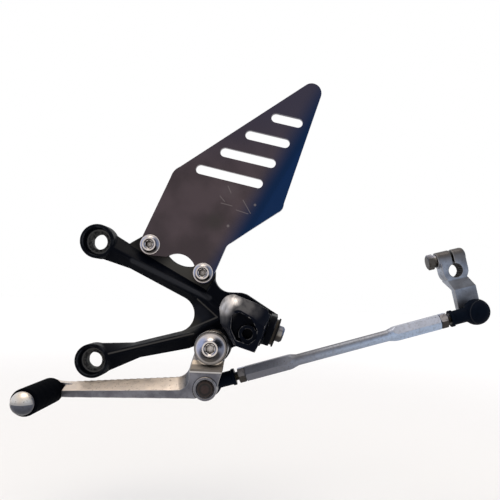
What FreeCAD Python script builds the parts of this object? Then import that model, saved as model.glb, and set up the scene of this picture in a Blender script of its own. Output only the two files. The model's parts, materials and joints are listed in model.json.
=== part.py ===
import FreeCAD, Part
import math
import os

import Sketcher

# Left-hand rider footpeg bracket with heel guard, folding peg knuckle, gear lever and shift linkage.
# Frame: +Z up, +X to the rear, -Y outboard, origin midway between the two frame bolts on the back face.
# A depth is measured outboard from that back face, so a depth of 10 lies at Y = -10.

SIZES = {
    # Frame lugs
    "lug_spacing": 83.5,
    "lug_d": 24.0,
    "lug_depth": 13.0,
    "lug_edge": 1.0,
    "frame_bore": 11.0,
    "counterbore_d": 19.0,
    "counterbore_depth": 6.0,
    # Bracket casting
    "plate_depth": 8.0,
    "flange_depth": 5.0,
    "ridge_depth": 13.0,
    "arm_wall": 4.0,
    "fork_x": 91.4,
    "fork_drop": 9.5,
    "fork_round": 12.9,
    "upper_edge_slope": 25.6,
    "lower_edge_slope": 16.7,
    "ridge_tip_x": 88.0,
    "ridge_tip_drop": 6.8,
    "root_inset": 0.6,
    "ear_root": 1.0,
    "window_margin": 1.0,
    "window_low": 8.0,
    "window_high": 8.5,
    "window_top": 13.4,
    "window_bend": 4.0,
    # Gear lever pivot
    "pivot_x": 83.9,
    "pivot_drop": 27.6,
    "pivot_boss_d": 25.0,
    "pivot_boss_depth": 12.0,
    "pivot_thread_d": 8.0,
    "pivot_shoulder_d": 12.0,
    "pivot_head_d": 21.6,
    "pivot_head_rim": 1.6,
    "pivot_head_h": 5.0,
    "pivot_socket": 6.0,
    "socket_depth": 3.2,
    "socket_lead": 0.8,
    "crown_flat": 1.0,
    "pivot_washer_d": 22.4,
    "pivot_washer_t": 1.0,
    "end_float": 0.3,
    "running_gap": 0.03,
    "fit_gap": 0.05,
    # Heel guard
    "guard_t": 2.5,
    "guard_bend_r": 14.0,
    "guard_bend_turn": 16.0,
    "guard_bend_lean": 28.8,
    "guard_bend_x": 39.4,
    "guard_bend_z": 49.8,
    "guard_tip_x": 70.7,
    "guard_tip_z": 130.0,
    "guard_inset": 1.0,
    "guard_slot_w": 6.6,
    "guard_tip_r": 7.0,
    "bolt_1_x": 36.0,
    "bolt_1_z": 41.4,
    "bolt_2_x": 74.1,
    "bolt_2_z": 23.1,
    "tab_r": 8.5,
    "tab_gap_r": 20.0,
    "guard_bolt_d": 8.0,
    "guard_head_d": 14.0,
    "guard_head_h": 4.4,
    "guard_head_rim": 0.8,
    "guard_socket": 5.0,
    # Footpeg clevis and knuckle
    "peg_x": 109.3,
    "peg_drop": 9.9,
    "peg_depth": 21.0,
    "peg_tilt": 17.4,
    "ear_t": 5.0,
    "ear_r": 10.5,
    "knuckle_w": 22.5,
    "knuckle_r": 9.5,
    "side_gap": 0.3,
    "pin_d": 11.0,
    "pin_head_d": 15.0,
    "pin_head_t": 2.0,
    "pin_tail": 7.2,
    "groove_d": 8.4,
    "washer_d": 18.0,
    "washer_t": 1.5,
    "clip_d": 20.0,
    "clip_t": 1.0,
    "clip_relief_d": 3.5,
    "clip_relief_rise": 1.0,
    "clip_relief_turn": 52.0,
    "pin_bevel": 1.2,
    "pin_head_bevel": 0.6,
    "hood_back": 11.6,
    "hood_bend": 14.0,
    "hood_front": 22.5,
    "recess_depth": 9.0,
    "socket_boss_d": 11.6,
    "socket_boss_h": 5.5,
    "bar_thread_d": 6.8,
    "bar_x": 1.0,
    "bar_drop": 5.6,
    "bar_floor": 3.0,
    "tongue_root": 1.0,
    "tongue_flare": 1.5,
    # Gear lever
    "eye_d": 23.0,
    "eye_t": 11.5,
    "bush_wall": 1.5,
    "lever_back": 16.0,
    "lever_front": 26.0,
    "stud_side": 2.4,
    "stud_drop": 27.3,
    "stud_boss_d": 16.0,
    "stud_boss_rise": 0.8,
    "stud_spot_d": 12.4,
    "toe_reach": 107.2,
    "toe_drop": 33.8,
    "toe_core_d": 13.0,
    "toe_dome_d": 14.4,
    "toe_dome_h": 6.0,
    "toe_dome_rim": 1.0,
    "toe_neck_back": 14.0,
    "toe_neck_d": 12.0,
    "toe_neck_run": 14.0,
    "toe_neck_high": 5.0,
    "toe_neck_low": 3.0,
    "rubber_d": 17.2,
    "rubber_start": 20.0,
    "rubber_length": 39.0,
    "rubber_lip": 1.6,
    # Ball joints and link rod
    "stud_reach": 10.0,
    "ball_d": 9.0,
    "stud_neck_d": 6.0,
    "stud_collar_d": 11.0,
    "stud_collar_t": 1.0,
    "rivet_d": 11.0,
    "rivet_t": 1.6,
    "rivet_core_d": 6.6,
    "rivet_bevel": 0.7,
    "seat_wall": 1.1,
    "housing_wall": 1.0,
    "housing_half": 5.0,
    "housing_mouth": 4.0,
    "housing_bevel": 0.4,
    "shank_root": 0.5,
    "shank_d": 8.2,
    "thread_d": 6.0,
    "thread_grip": 16.0,
    "thread_clear": 2.0,
    "boot_d": 18.5,
    "boot_wall": 1.0,
    "boot_neck_d": 10.2,
    "boot_lip_d": 11.8,
    "boot_lip_w": 2.0,
    "boot_lip_bevel": 0.6,
    "boot_length": 19.5,
    "boot_hole_d": 7.2,
    "nut_start": 22.0,
    "nut_t": 5.0,
    "hex_flats": 10.0,
    "hex_bevel": 0.4,
    "rod_span": 196.0,
    "rod_rise": 17.6,
    "rod_hex_end": 30.0,
    "rod_taper": 8.0,
    "rod_waist_d": 8.0,
    # Shift arm
    "arm_tilt": 15.6,
    "arm_length": 31.3,
    "arm_offset": 2.4,
    "arm_lug_d": 16.4,
    "arm_lug_t": 6.0,
    "arm_set_back": 3.6,
    "clamp_t": 12.0,
    "clamp_d": 19.0,
    "shaft_bore": 10.0,
    "clamp_boss_d": 12.0,
    "clamp_boss_left": 11.0,
    "clamp_boss_right": 10.6,
    "clamp_boss_round": 3.0,
    "joggle_top": 6.5,
    "joggle_foot": 13.6,
    "joggle_w": 15.6,
    "pinch_rise": 9.8,
    "pinch_d": 6.0,
    "pinch_bevel": 0.6,
    "pinch_head_h": 4.5,
    "pinch_collar_d": 9.4,
    "pinch_collar_t": 2.0,
    "slit_w": 1.6,
}

# Corners of the free outlines: the point that each is measured from, its offset in X and Z, and
# where an arc leads to the next corner, the arc's radius
OUTLINES = {
    "fork_outer": (
        ("bolt_1", -16.5, 0.6),
        ("bolt_2", 2, -11.6),
        ("peg", -13.3, 8.9),
        ("peg", -16.3, -9.1),
        ("pivot", -18, -3.4),
        ("lower_lug", 31.5, 2.8),
        ("lower_lug", 3, -10.9),
    ),
    "fork_bend": (
        ("lower_lug", 26, 13),
        ("upper_lug", 21.6, -17.8),
    ),
    "ridge": (
        ("upper_lug", 10.6, -3.4),
        ("bolt_1", -12, -9.2),
        ("bolt_2", -1.6, -13.6),
        ("ridge_tip", 1.6, 1),
        ("ridge_tip", 1.2, -1.2),
        ("pivot", -14.4, 6.4),
        ("lower_lug", 31, 9.1),
        ("lower_lug", 10.5, 2.5),
        ("lower_lug", 10.5, 6.3),
        ("lower_lug", 28, 11.8),
        ("pivot", -14.1, 9.2),
        ("ridge_tip", -0.5, 0),
        ("bolt_2", -2.6, -17.7),
        ("upper_lug", 22, -11),
        ("upper_lug", 10.6, -5.6),
    ),
    "hub": (
        ("bolt_2", 3, -13),
        ("peg", -27, 4),
        ("pivot", -9, 14),
        ("pivot", -13, 2),
        ("pivot", -8, -9.2),
        ("pivot", 0, -10),
        ("pivot", 10.2, -4.5, -8),
        ("pivot", 16, 0),
        ("peg", 7.5, -15.4),
        ("peg", 11.5, -15.4, 30),
        ("peg", 18.2, 4.4, 4),
        ("peg", 15.4, 7.8),
        ("peg", -3.5, 19.2),
        ("peg", -7.5, 20.3),
        ("peg", -15.5, 20.2, -11),
        ("bolt_2", 8.4, -3.5),
    ),
    "flange_foot": (
        ("bolt_2", 8.5, -10),
        ("bolt_2", 0, -16),
        ("bolt_1", -12, -8),
        ("bolt_1", -15, 0.6),
    ),
    "guard_waist": (
        ("bolt_1", 12, -8.2, -13),
    ),
    "guard_edge": (
        ("bolt_2", 14.8, 17.4, -7),
        ("bolt_2", 18.7, 22),
        ("bolt_2", 50.9, 45.4, 7),
        ("bolt_2", 54.8, 51.9),
    ),
    "guard_shoulder": (
        ("bolt_2", -19.7, 74, 11),
        ("bolt_2", -25.7, 66.7),
    ),
    "slot_1": (
        ("bolt_2", -5.1, 72.9),
        ("bolt_2", 35.9, 64.7),
    ),
    "slot_2": (
        ("bolt_2", 11.6, 85.7),
        ("bolt_2", 44.4, 79.4),
    ),
    "slot_3": (
        ("bolt_2", 28.7, 98.6),
        ("bolt_2", 53.6, 93.9),
    ),
    "slot_4": (
        ("bolt_2", 46.5, 111.5),
        ("bolt_2", 62.1, 108.6),
    ),
    "lever_back": (
        ("toe_end", 0, -3.3),
        ("stud", -6.4, -7.2),
        ("stud", 7.6, 0.6),
        ("middle", 10.2, -0.2),
        ("middle", -10.8, -0.2),
        ("middle", -14.6, -13.2, -9.5),
        ("middle", -23.5, -21.6),
        ("toe_end", 0, 5.6),
    ),
    "lever_front": (
        ("toe_end", 0, -3.3),
        ("stud", -6.4, -6.7),
        ("stud", 7.6, 0.6),
        ("middle", 8.9, -14.4),
        ("middle", -13.2, -14.4),
        ("middle", -13.9, -22.2, -7.4),
        ("middle", -19.6, -28.8),
        ("toe_end", 0, 1.2),
    ),
    "hood_root": (
        ("middle", -12.5, -9.5),
        ("middle", -5, -16),
        ("knuckle_side", -1.6, -15.6),
        ("knuckle_side", 0, -2),
        ("knuckle_side", -0.2, 9),
        ("knuckle_side", -3, 13.2),
        ("middle", -0.5, 14.6),
        ("middle", -15, 15.2, 8),
        ("middle", -22, 7.5),
        ("middle", -22, 4),
        ("middle", -18, -5.5),
    ),
    "hood_nose": (
        ("middle", -9.6, -8.5),
        ("middle", -3, -15),
        ("knuckle_side", -1.8, -14.9),
        ("knuckle_side", -0.9, -4),
        ("knuckle_side", -1.2, 2.8),
        ("middle", 4.5, 3.6),
        ("middle", 1.5, 5.8),
        ("middle", -8, 7.4, 8),
        ("middle", -13.4, 4),
        ("middle", -13.6, 2),
        ("middle", -11, -6),
    ),
    "recess": (
        ("middle", -9.8, -5.8),
        ("middle", -4.5, -11.4),
        ("middle", 4, -11.4),
        ("middle", 7.4, -6),
        ("middle", 6, -0.9),
        ("middle", 0.6, 4.3),
        ("middle", -8, 6),
        ("middle", -12.2, 2.6),
    ),
}
CORNER_AXES = ("x", "z", "radius")
HEX_REACH = 0.62
CHAMFER_SLOPE = math.tan(math.radians(30))

# Directions from the middle of a rounded end to the points where its edge starts, crests and ends
TAB_START = (-0.6, 0.8)
TAB_CREST = (-0.5, 0.86603)
TAB_RETURN = (-0.86603, 0.5)
GUARD_CORNER = (-0.92, 0.39)
GUARD_FOOT = (-0.8, -0.6)
GUARD_HEEL = (0.92, -0.39)
TIP_FRONT = (0.98, -0.2)
TIP_BACK = (-0.584, 0.812)


class Length:
    """A number together with the spreadsheet formula that gives it."""

    def __init__(self, value, formula):
        self.value = value
        self.formula = formula

    def join(self, other, sign, value):
        return Length(value, f"({self.formula} {sign} {length(other).formula})")

    def __add__(self, other):
        return self.join(other, "+", self.value + length(other).value)

    def __sub__(self, other):
        return self.join(other, "-", self.value - length(other).value)

    def __mul__(self, other):
        return self.join(other, "*", self.value * length(other).value)

    def __truediv__(self, other):
        return self.join(other, "/", self.value / length(other).value)

    def __radd__(self, other):
        return length(other) + self

    def __rsub__(self, other):
        return length(other) - self

    def __rmul__(self, other):
        return length(other) * self

    def __neg__(self):
        return Length(-self.value, f"(0 - {self.formula})")


def length(number):
    return number if isinstance(number, Length) else Length(float(number), f"({float(number)})")


def root(number):
    return Length(math.sqrt(number.value), f"sqrt({number.formula})")


def cosine(degrees):
    return Length(math.cos(math.radians(degrees.value)), f"cos({degrees.formula} * 1deg)")


def sine(degrees):
    return Length(math.sin(math.radians(degrees.value)), f"sin({degrees.formula} * 1deg)")


class Sizes:
    """The spreadsheet's cells by name, each as a Length."""

    def __getattr__(self, name):
        return Length(float(sheet.get(name)), f"sizes.{name}")


def sheet_values():
    """Every size by its cell's name, the outlines' corners included."""
    yield from SIZES.items()
    for name, corners in OUTLINES.items():
        for index, (_, *numbers) in enumerate(corners, start=1):
            for axis, number in zip(CORNER_AXES, numbers):
                yield f"{name}_{index}_{axis}", number


doc = FreeCAD.newDocument("footpeg_bracket")
sheet = doc.addObject("Spreadsheet::Sheet", "sizes")
for row, (alias, number) in enumerate(sheet_values(), start=1):
    sheet.set(f"A{row}", alias)
    sheet.set(f"B{row}", str(number))
    sheet.setAlias(f"B{row}", alias)
doc.recompute()
S = Sizes()

PIVOT = (S.pivot_x, -S.pivot_drop)
PEG = (S.peg_x, -S.peg_drop)
BOLTS = ((S.bolt_1_x, S.bolt_1_z), (S.bolt_2_x, S.bolt_2_z))
LUGS = ((0, S.lug_spacing / 2), (0, -S.lug_spacing / 2))
RIDGE_TIP = (S.ridge_tip_x, -S.ridge_tip_drop)
FRONT_BALL = (S.pivot_x - S.stud_side, -S.pivot_drop - S.stud_drop)
ROD_DEPTH = S.lever_back - S.stud_reach
REAR_BALL = (
    FRONT_BALL[0] + S.rod_span * cosine(S.rod_rise),
    FRONT_BALL[1] + S.rod_span * sine(S.rod_rise),
)
ARM_FRONT = ROD_DEPTH - S.stud_reach
ARM_AXIS = (
    REAR_BALL[0] - S.arm_offset * cosine(S.arm_tilt) - S.arm_length * sine(S.arm_tilt),
    REAR_BALL[1] - S.arm_offset * sine(S.arm_tilt) + S.arm_length * cosine(S.arm_tilt),
)
EYE_BACK = S.pivot_boss_depth + S.end_float
EYE_FRONT = EYE_BACK + S.eye_t
HEAD_SEAT = EYE_FRONT + S.end_float + S.pivot_washer_t
EAR_INNER = S.knuckle_w / 2 + S.side_gap
EAR_OUTER = EAR_INNER + S.ear_t
STUD = (-S.stud_side, -S.stud_drop)
TOE = (-S.toe_reach, -S.toe_drop)
ANCHORS = {
    "middle": (0, 0),
    "upper_lug": LUGS[0],
    "lower_lug": LUGS[1],
    "bolt_1": BOLTS[0],
    "bolt_2": BOLTS[1],
    "pivot": PIVOT,
    "peg": PEG,
    "ridge_tip": RIDGE_TIP,
    "stud": STUD,
    "toe_end": (TOE[0] + S.rubber_d / 2 + S.end_float, TOE[1]),
    "knuckle_side": (S.knuckle_w / 2, 0),
}

sub_parts = []


# Document helpers

def near(point, dx, dz):
    return (point[0] + dx, point[1] + dz)


def edge_point(middle, radius, direction):
    return near(middle, radius * direction[0], radius * direction[1])


def corners(name):
    """An outline's corners as (x, z) or (x, z, radius), each tied to its anchor and its cells."""
    found = []
    for index, (anchor, *numbers) in enumerate(OUTLINES[name], start=1):
        cells = [getattr(S, f"{name}_{index}_{axis}") for axis, _ in zip(CORNER_AXES, numbers)]
        found.append((*near(ANCHORS[anchor], *cells[:2]), *cells[2:]))
    return found


def placement_formula(base, turns):
    x, y, z = (length(value).formula for value in base)
    spins = [f"rotation(vector({a}; {b}; {c}); {length(angle).formula})" for (a, b, c), angle in turns]
    return f"placement(vector({x}; {y}; {z}); {' * '.join(spins or ['rotation(vector(0; 0; 1); 0)'])})"


def new_body(label, base=(0, 0, 0), turns=(), grouped=False):
    """A body with a Placement; one that isn't grouped with others is a sub-part of its own."""
    body = doc.addObject("PartDesign::Body", label)
    body.Label = label
    body.setExpression("Placement", placement_formula(base, turns))
    if not grouped:
        sub_parts.append(body)
    return body


def sketch_on(body, name, role, offset=(0, 0, 0), turns=()):
    plane = next(item for item in body.Origin.OriginFeatures if item.Role == role)
    sketch = body.newObject("Sketcher::SketchObject", name)
    sketch.AttachmentSupport = (plane, [""])
    sketch.MapMode = "FlatFace"
    sketch.setExpression("AttachmentOffset", placement_formula(offset, turns))
    return sketch


def bind(sketch, constraint, number):
    index = sketch.addConstraint(constraint)
    if isinstance(number, Length):
        sketch.setExpression(f"Constraints[{index}]", number.formula)


def fix_point(sketch, geometry, position, x, y):
    bind(sketch, Sketcher.Constraint("DistanceX", geometry, position, length(x).value), x)
    bind(sketch, Sketcher.Constraint("DistanceY", geometry, position, length(y).value), y)


def arc_between(start, end, radius):
    """Minor arc from start to end, counter-clockwise for a positive radius."""
    chord = end - start
    middle = start + chord * 0.5
    left = FreeCAD.Vector(-chord.y, chord.x, 0).normalize()
    rise = math.sqrt(max(radius * radius - chord.Length ** 2 / 4, 0))
    centre = middle + left * math.copysign(rise, radius)
    first, last = (start, end) if radius > 0 else (end, start)
    angles = [math.atan2(point.y - centre.y, point.x - centre.x) for point in (first, last)]
    circle = Part.Circle(centre, FreeCAD.Vector(0, 0, 1), abs(radius))
    return Part.ArcOfCircle(circle, *angles)


def outline(sketch, points):
    """Closed outline of (x, y) corners; a third item is the radius of an arc to the next corner."""
    corners = [FreeCAD.Vector(length(p[0]).value, length(p[1]).value, 0) for p in points]
    ends = []
    for index, point in enumerate(points):
        start, end = corners[index], corners[(index + 1) % len(points)]
        if len(point) == 2:
            ends.append((sketch.addGeometry(Part.LineSegment(start, end), False), 1, 2))
            continue
        radius = length(point[2])
        geometry = sketch.addGeometry(arc_between(start, end, radius.value), False)
        ends.append((geometry, 1, 2) if radius.value > 0 else (geometry, 2, 1))
    for index, point in enumerate(points):
        geometry, first, last = ends[index]
        following, its_first, _ = ends[(index + 1) % len(points)]
        sketch.addConstraint(Sketcher.Constraint("Coincident", geometry, last, following, its_first))
        fix_point(sketch, geometry, first, point[0], point[1])
        if len(point) == 3:
            radius = point[2] if length(point[2]).value > 0 else -point[2]
            bind(sketch, Sketcher.Constraint("Radius", geometry, length(radius).value), radius)
    return sketch


def circle(sketch, x, y, diameter):
    radius = diameter / 2
    centre = FreeCAD.Vector(length(x).value, length(y).value, 0)
    shape = Part.Circle(centre, FreeCAD.Vector(0, 0, 1), length(radius).value)
    geometry = sketch.addGeometry(shape, False)
    fix_point(sketch, geometry, 3, x, y)
    bind(sketch, Sketcher.Constraint("Radius", geometry, length(radius).value), radius)
    return sketch


def hexagon(sketch, x, y, flats, first_corner=0):
    corner_r = flats / math.sqrt(3)
    angles = [math.radians(first_corner + 60 * step) for step in range(6)]
    return outline(sketch, [(x + corner_r * math.cos(a), y + corner_r * math.sin(a)) for a in angles])


def feature(body, kind, sketch, **values):
    item = body.newObject(f"PartDesign::{kind}", f"{sketch.Name}_{kind.lower()}")
    item.Profile = sketch
    for name, value in values.items():
        if isinstance(value, Length):
            item.setExpression(name, value.formula)
        else:
            setattr(item, name, value)
    return item


def pad(body, sketch, depth, **values):
    return feature(body, "Pad", sketch, Length=length(depth), **values)


def pocket(body, sketch, depth=None):
    if depth is None:
        return feature(body, "Pocket", sketch, Type="ThroughAll", Midplane=True)
    return feature(body, "Pocket", sketch, Length=length(depth))


def turned(body, name, points, axis, kind="Revolution", base=(0, 0, 0)):
    """Body of revolution; axis H_Axis turns about local X, V_Axis about local Y."""
    sketch = outline(sketch_on(body, name, "XY_Plane", base), points)
    return feature(body, kind, sketch, ReferenceAxis=(sketch, [axis]), Angle=360.0)


def loft(body, sections):
    item = body.newObject("PartDesign::AdditiveLoft", f"{sections[0].Name}_loft")
    item.Profile = sections[0]
    item.Sections = sections[1:]
    item.Ruled = True
    return item


# Bracket and heel guard

def fork_round():
    """Start, middle and end of the arc where the inner edges of the two arms meet, from below."""
    vertex = (S.fork_x, -S.fork_drop)
    up, down = S.upper_edge_slope, S.lower_edge_slope
    half, lean = (up + down) / 2, (up - down) / 2
    radius = S.fork_round
    run = radius * cosine(half) / sine(half)
    back = radius / sine(half) - radius
    return (
        near(vertex, -run * cosine(down), -run * sine(down)),
        near(vertex, -back * cosine(lean), back * sine(lean)),
        near(vertex, -run * cosine(up), run * sine(up)),
    )


def fork(body):
    """Both arms as one casting: a low wall, then flanks that rise to a narrow ridge with an arrow tip."""
    upper, lower = LUGS
    inset = S.lug_d / 2 - S.root_inset
    round_start, round_middle, round_end = fork_round()
    lower_bend, upper_bend = corners("fork_bend")
    foot = [
        near(upper, 0, inset),
        *corners("fork_outer"),
        near(lower, 0, inset),
        lower_bend,
        (*round_start, S.fork_round),
        (*round_middle, S.fork_round),
        round_end,
        upper_bend,
        near(upper, 0, -inset),
    ]
    pad(body, outline(sketch_on(body, "fork_wall", "XZ_Plane"), foot), S.arm_wall)
    flank_foot = outline(sketch_on(body, "flank_foot", "XZ_Plane", (0, 0, S.arm_wall)), foot)
    flank_ridge = outline(sketch_on(body, "flank_ridge", "XZ_Plane", (0, 0, S.ridge_depth)), corners("ridge"))
    loft(body, [flank_foot, flank_ridge])


def bracket():
    body = new_body("bracket")
    fork(body)

    pad(body, outline(sketch_on(body, "hub_plate", "XZ_Plane"), corners("hub")), S.plate_depth)
    pad(body, circle(sketch_on(body, "pivot_boss", "XZ_Plane"), *PIVOT, S.pivot_boss_d), S.pivot_boss_depth)
    for name, lug in zip(("upper_lug", "lower_lug"), LUGS):
        turned(body, name, [
            (0, 0),
            (S.lug_d / 2, 0),
            (S.lug_d / 2, S.lug_edge - S.lug_depth, -S.lug_edge),
            (S.lug_d / 2 - S.lug_edge, -S.lug_depth),
            (0, -S.lug_depth),
        ], "V_Axis", base=(0, 0, lug[1]))

    flange = sketch_on(body, "guard_flange", "XZ_Plane")
    tab_r = S.tab_r
    outline(flange, [
        edge_point(BOLTS[0], tab_r, TAB_START),
        (*edge_point(BOLTS[0], tab_r, TAB_CREST), -tab_r),
        (*near(BOLTS[0], tab_r, 0), S.tab_gap_r),
        (*edge_point(BOLTS[1], tab_r, TAB_RETURN), -tab_r),
        near(BOLTS[1], tab_r, 0),
        *corners("flange_foot"),
    ])
    pad(body, flange, S.flange_depth)

    for name, start in (("rear_ear", EAR_INNER), ("front_ear", -EAR_OUTER)):
        base = (0, PEG[1] - start * sine(S.peg_tilt), PEG[0] + start * cosine(S.peg_tilt))
        ear = sketch_on(body, name, "YZ_Plane", base, [((1, 0, 0), S.peg_tilt)])
        outline(ear, [
            (-S.ear_root, S.ear_r + S.ear_root),
            (-S.peg_depth, S.ear_r, S.ear_r),
            (-S.peg_depth - S.ear_r, 0, S.ear_r),
            (-S.peg_depth, -S.ear_r),
            (-S.ear_root, -S.ear_r - S.ear_root),
        ])
        pad(body, ear, S.ear_t)

    peg_turn = [((0, 0, 1), -S.peg_tilt)]
    window = sketch_on(body, "clevis_window", "XZ_Plane", (*PEG, 0), peg_turn)
    side = S.knuckle_w / 2 - S.window_margin
    outline(window, [
        (-side, -S.window_low),
        (side, -S.window_low),
        (side, S.window_high),
        (-S.window_bend, S.window_top),
        (-side, S.window_top),
    ])
    pocket(body, window)
    for name, lug in zip(("upper_bore", "lower_bore"), LUGS):
        pocket(body, circle(sketch_on(body, name, "XZ_Plane"), *lug, S.frame_bore))
        seat = sketch_on(body, f"{name}_seat", "XZ_Plane", (0, 0, S.lug_depth))
        pocket(body, circle(seat, *lug, S.counterbore_d), S.counterbore_depth)
    pivot_hole = sketch_on(body, "pivot_thread", "XZ_Plane")
    pocket(body, circle(pivot_hole, *PIVOT, S.pivot_thread_d + S.fit_gap * 2))
    for index, bolt in enumerate(BOLTS, start=1):
        hole = sketch_on(body, f"guard_thread_{index}", "XZ_Plane")
        pocket(body, circle(hole, *bolt, S.guard_bolt_d + S.fit_gap * 2))
    pin_bore = sketch_on(body, "pin_bore", "YZ_Plane", (0, PEG[1], PEG[0]), [((1, 0, 0), S.peg_tilt)])
    circle(pin_bore, -S.peg_depth, 0, S.pin_d + S.fit_gap * 2)
    feature(body, "Pocket", pin_bore, Length=EAR_OUTER * 3, Midplane=True)


def heel_guard():
    """Bent sheet: a long folded strip along the bend line, trimmed to the guard's outline."""
    body = new_body("heel_guard")
    bend_point = near(BOLTS[1], S.guard_bend_x, S.guard_bend_z)
    thickness, turn = S.guard_t, S.guard_bend_turn
    inner, outer = S.guard_bend_r, S.guard_bend_r + thickness
    back, front = S.flange_depth, S.flange_depth + thickness
    reach, wing = S.guard_tip_z, S.guard_tip_x
    far_x = outer * sine(turn) + wing * cosine(turn)
    far_rise = wing * sine(turn)

    strip = sketch_on(body, "strip", "XY_Plane", (bend_point[0], 0, bend_point[1]),
                      [((0, 1, 0), S.guard_bend_lean)])
    drop_front = outer - outer * cosine(turn)
    drop_back = outer - inner * cosine(turn)
    outline(strip, [
        (-reach, -back),
        (-reach, -front),
        (0, -front, outer),
        (outer * sine(turn), -front + drop_front),
        (far_x, -front + drop_front + far_rise),
        (far_x - thickness * sine(turn), -front + drop_back + far_rise),
        (inner * sine(turn), -front + drop_back, -inner),
        (0, -back),
    ])
    pad(body, strip, reach * 2, Midplane=True)

    trim = sketch_on(body, "guard_outline", "XZ_Plane")
    first, second = BOLTS
    tip = near(second, S.guard_tip_x, S.guard_tip_z)
    corner_r, tip_r = S.tab_r - S.guard_inset, S.guard_tip_r
    outline(trim, [
        (*edge_point(first, corner_r, GUARD_CORNER), corner_r),
        near(first, 0, -corner_r),
        *corners("guard_waist"),
        (*edge_point(second, corner_r, GUARD_FOOT), corner_r),
        edge_point(second, corner_r, GUARD_HEEL),
        *corners("guard_edge"),
        (*edge_point(tip, tip_r, TIP_FRONT), tip_r),
        edge_point(tip, tip_r, TIP_BACK),
        *corners("guard_shoulder"),
    ])
    low, high = near(first, -reach, -reach), near(tip, reach, reach)
    outline(trim, [low, (high[0], low[1]), high, (low[0], high[1])])
    pocket(body, trim)

    half_slot = S.guard_slot_w / 2
    for index in range(1, 5):
        left, right = corners(f"slot_{index}")
        run, rise = right[0] - left[0], right[1] - left[1]
        span = root(run * run + rise * rise)
        along = (run * half_slot / span, rise * half_slot / span)
        across = (-along[1], along[0])
        slot = sketch_on(body, f"guard_slot_{index}", "XZ_Plane")
        outline(slot, [
            near(left, -across[0], -across[1]),
            (*near(right, -across[0], -across[1]), half_slot),
            (*near(right, *along), half_slot),
            near(right, *across),
            (*near(left, *across), half_slot),
            (*near(left, -along[0], -along[1]), half_slot),
        ])
        pocket(body, slot)
    for index, bolt in enumerate(BOLTS, start=1):
        hole = sketch_on(body, f"guard_hole_{index}", "XZ_Plane")
        pocket(body, circle(hole, *bolt, S.guard_bolt_d + S.fit_gap * 4))


def domed_bolt(body, head_d, head_h, rim, socket, shank):
    """Button-head bolt along local Y: the head's underside at Y = 0, the shank's steps towards +Y."""
    head_r = head_d / 2
    lead = socket / math.sqrt(3) + S.socket_lead
    crown = lead + S.crown_flat
    rise = head_h - rim
    dome_r = (head_r - crown) * (head_r - crown) / (rise * 2) + rise / 2
    points = [
        (0, -head_h),
        (crown, -head_h, -dome_r),
        (head_r, -rim),
        (head_r, 0),
    ]
    reached = 0
    for diameter, run in shank:
        points += [(diameter / 2, reached), (diameter / 2, reached + run)]
        reached = reached + run
    points.append((0, reached))
    turned(body, f"{body.Name}_turning", points, "V_Axis")
    recess = sketch_on(body, f"{body.Name}_socket", "XZ_Plane", (0, 0, head_h))
    pocket(body, hexagon(recess, length(0), length(0), socket, 90), S.socket_depth)
    turned(body, f"{body.Name}_lead", [
        (0, -head_h),
        (lead, -head_h),
        (lead - S.socket_lead, -head_h + S.socket_lead),
        (0, -head_h + S.socket_lead),
    ], "V_Axis", "Groove")


def guard_bolts():
    bolts = []
    seat = S.flange_depth + S.guard_t
    for index, (x, z) in enumerate(BOLTS, start=1):
        bolts.append(new_body(f"guard_bolt_{index}", (x, -seat, z), grouped=True))
        domed_bolt(bolts[-1], S.guard_head_d, S.guard_head_h, S.guard_head_rim, S.guard_socket,
                   [(S.guard_bolt_d, seat)])
    pair = doc.addObject("Part::Compound", "guard_bolts")
    pair.Links = bolts
    sub_parts.append(pair)


# Gear lever and its pivot

def pivot_bolt():
    body = new_body("pivot_bolt", (PIVOT[0], -HEAD_SEAT, PIVOT[1]))
    shoulder = (S.pivot_shoulder_d, HEAD_SEAT - S.pivot_boss_depth)
    thread = (S.pivot_thread_d, S.pivot_boss_depth)
    domed_bolt(body, S.pivot_head_d, S.pivot_head_h, S.pivot_head_rim, S.pivot_socket, [shoulder, thread])


def ring(label, base, turns, axis, inner_d, outer_d, thickness):
    """Flat ring that starts at its base and runs along the positive axis."""
    body = new_body(label, base, turns)
    corners = [(inner_d / 2, 0), (outer_d / 2, 0), (outer_d / 2, thickness), (inner_d / 2, thickness)]
    if axis == "H_Axis":
        corners = [(along, across) for across, along in corners]
    turned(body, f"{label}_section", corners, axis)
    return body


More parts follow.
